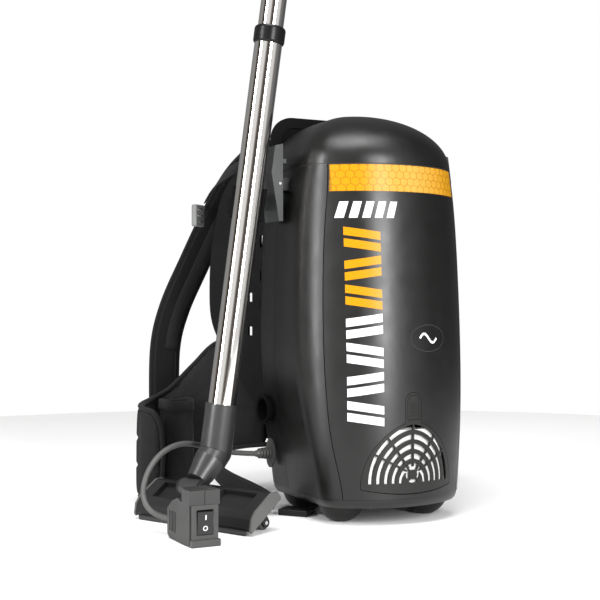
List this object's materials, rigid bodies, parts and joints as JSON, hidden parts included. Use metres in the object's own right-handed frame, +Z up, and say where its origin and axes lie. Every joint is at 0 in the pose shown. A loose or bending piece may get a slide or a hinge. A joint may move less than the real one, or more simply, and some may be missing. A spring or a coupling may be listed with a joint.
{
  "type": "backpack vacuum cleaner",
  "caption": "Backpack vacuum with domed hard case, slotted exhaust door, padded harness, parked telescopic wand with floor head, and wired remote switch.",
  "frame": {"origin": "centre of the footprint of the standing machine, on the floor", "axes": "+Z up, the case's front panel faces -Y, the wearer is on +Y, the parked wand is on the -X side"},
  "size_m": [0.6087, 0.4644, 0.732],
  "materials": {
    "case_plastic": "satin moulded",
    "panel_plastic": "satin moulded",
    "lid_plastic": "satin moulded",
    "grille_plastic": "satin moulded",
    "latch_plastic": "satin moulded",
    "foot_plastic": "satin moulded",
    "seal_rubber": "matte",
    "frame_plastic": "satin moulded",
    "chrome_tube": "polished",
    "wand_plastic": "satin moulded",
    "head_plastic": "satin moulded",
    "cap_plastic": "satin moulded",
    "lip_rubber": "matte",
    "sole_metal": "brushed",
    "wheel_rubber": "matte",
    "steel": "turned",
    "motor_metal": "cast",
    "filter_media": "non-woven",
    "bag_paper": "non-woven",
    "bag_card": "pressed board",
    "switch_plastic": "satin moulded",
    "bezel_plastic": "satin moulded",
    "rocker_plastic": "gloss",
    "cable_rubber": "matte",
    "strap_fabric": "spacer mesh",
    "hip_fabric": "woven nylon",
    "webbing": "woven webbing",
    "buckle_plastic": "satin moulded",
    "clasp_plastic": "satin moulded"
  },
  "bodies": {
    "root": {"back_frame": "frame_plastic", "back_pad": "hip_fabric", "bag_collar": "bag_card", "base_tray": "case_plastic", "belt_clasps": "clasp_plastic", "belt_webbings": "webbing", "box_grommet": "cable_rubber", "dust_bag": "bag_paper", "exhaust_filter": "filter_media", "feet": "foot_plastic", "front_panel": "panel_plastic", "hip_pad_left": "hip_fabric", "hip_pad_right": "hip_fabric", "hip_pocket": "hip_fabric", "hose_port": "frame_plastic", "latch_pins": "steel", "lead_gland": "cable_rubber", "lid_seal": "seal_rubber", "load_lifters": "webbing", "lower_webbings": "webbing", "motor_bearings": "steel", "motor_can": "motor_metal", "motor_deck": "frame_plastic", "motor_filter": "filter_media", "motor_mount": "seal_rubber", "neck_socket": "wand_plastic", "rear_housing": "case_plastic", "remote_lead": "cable_rubber", "riser_duct": "frame_plastic", "shoulder_strap_left": "strap_fabric", "shoulder_strap_right": "strap_fabric", "side_shell": "case_plastic", "strap_adjusters": "clasp_plastic", "strap_buckles": "buckle_plastic", "switch_bezel": "bezel_plastic", "switch_box": "switch_plastic", "switch_clip_block": "switch_plastic", "switch_module": "bezel_plastic", "wand_clip": "frame_plastic", "wand_collar": "wand_plastic", "wand_outer_tube": "chrome_tube"},
    "lid": {"top_lid": "lid_plastic"},
    "left_clip": {"latch_left": "latch_plastic"},
    "right_clip": {"latch_right": "latch_plastic"},
    "exhaust": {"exhaust_cover": "grille_plastic"},
    "tab": {"cover_tab": "grille_plastic"},
    "rotor": {"armature": "steel", "fan_impeller": "motor_metal"},
    "switch_rocker": {"rocker": "rocker_plastic"},
    "inner_tube": {"wand_inner_tube": "chrome_tube"},
    "elbow": {"elbow": "wand_plastic"},
    "head": {"head_cover": "head_plastic", "head_end_caps": "cap_plastic", "head_sole_strips": "sole_metal", "head_lip": "lip_rubber", "head_pivot_pin": "steel", "wheel_axles": "steel"},
    "wheel_front": {"head_wheel_front": "wheel_rubber"},
    "wheel_rear": {"head_wheel_rear": "wheel_rubber"}
  },
  "joints": [
    {"name": "lid_lift", "type": "slide", "parent": "root", "child": "lid", "axis": [0, 0, 1], "range_m": [0, 0.12]},
    {"name": "left_clip_rock", "type": "hinge", "parent": "root", "child": "left_clip", "pos_m": [-0.11127, -0.07456, 0.463], "axis": [0, -1, 0], "range_deg": [0, 5], "stiffness_Nm_per_rad": 0.6},
    {"name": "right_clip_rock", "type": "hinge", "parent": "root", "child": "right_clip", "pos_m": [0.15873, -0.07456, 0.463], "axis": [0, 1, 0], "range_deg": [0, 5], "stiffness_Nm_per_rad": 0.6},
    {"name": "exhaust_open", "type": "hinge", "parent": "root", "child": "exhaust", "pos_m": [0.02373, -0.22956, 0.046], "axis": [1, 0, 0], "range_deg": [0, 60]},
    {"name": "tab_press", "type": "slide", "parent": "exhaust", "child": "tab", "axis": [0, 1, 0], "range_m": [0, 0.002], "stiffness_N_per_m": 900},
    {"name": "rotor_spin", "type": "hinge", "parent": "root", "child": "rotor", "pos_m": [0.02373, -0.10456, 0.11], "axis": [0, 0, 1], "continuous": true},
    {"name": "rocker_flip", "type": "hinge", "parent": "root", "child": "switch_rocker", "pos_m": [-0.27776, -0.22356, 0.03], "axis": [-1, 0, 0], "range_deg": [0, 14]},
    {"name": "wand_extend", "type": "slide", "parent": "root", "child": "inner_tube", "axis": [0.1177, -0.0505, 0.9918], "range_m": [0, 0.34]},
    {"name": "elbow_swivel", "type": "hinge", "parent": "root", "child": "elbow", "pos_m": [-0.19976, -0.07661, 0.095], "axis": [-0.3993, -0.0935, -0.9121], "range_deg": [-12, 12]},
    {"name": "head_tilt", "type": "hinge", "parent": "elbow", "child": "head", "pos_m": [-0.23822, -0.09031, 0.0507], "axis": [0.4195, -0.9078, 0], "range_deg": [-12, 8]},
    {"name": "front_wheel_roll", "type": "hinge", "parent": "head", "child": "wheel_front", "pos_m": [-0.16896, -0.15745, 0.0095], "axis": [0.4195, -0.9078, 0], "continuous": true},
    {"name": "rear_wheel_roll", "type": "hinge", "parent": "head", "child": "wheel_rear", "pos_m": [-0.23775, -0.00857, 0.0095], "axis": [0.4195, -0.9078, 0], "continuous": true}
  ]
}
